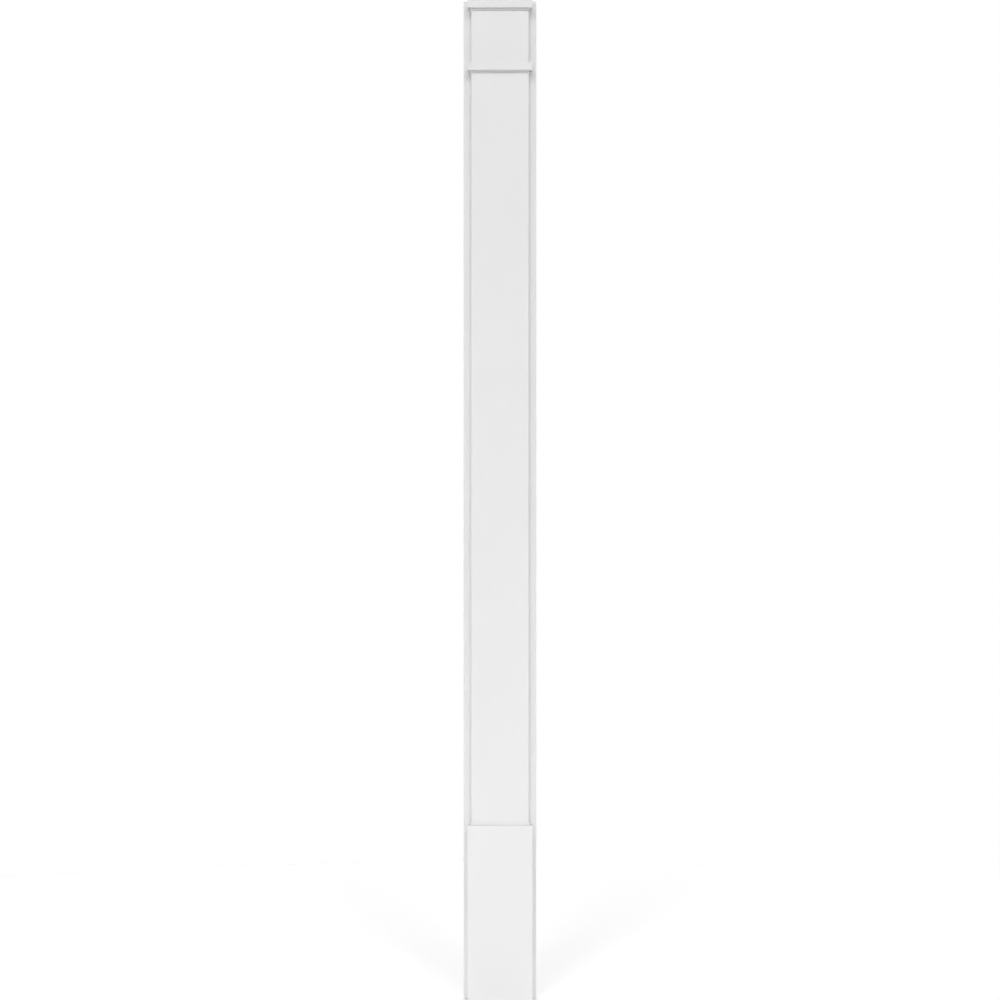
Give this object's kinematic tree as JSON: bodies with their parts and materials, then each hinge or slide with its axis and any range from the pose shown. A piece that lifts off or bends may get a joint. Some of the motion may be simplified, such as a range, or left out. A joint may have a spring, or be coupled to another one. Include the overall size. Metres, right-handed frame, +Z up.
{
  "type": "pilaster",
  "caption": "Tall shallow wall pilaster: a plain flat shaft on a plinth block, with stepped neck and cap mouldings and a flanged back, to frame a doorway or opening.",
  "frame": {"origin": "centre of the flat back face that meets the wall", "axes": "+Z up along the shaft, +Y into the wall, +X to the right as seen from the front"},
  "size_m": [0.1778, 0.0508, 2.4384],
  "materials": {
    "white_board": "smooth white cellular board with a satin skin"
  },
  "bodies": {
    "root": {"back_board": "white_board", "plinth_block": "white_board", "shaft_board": "white_board", "neck_moulding": "white_board", "cap_moulding": "white_board"}
  },
  "joints": []
}
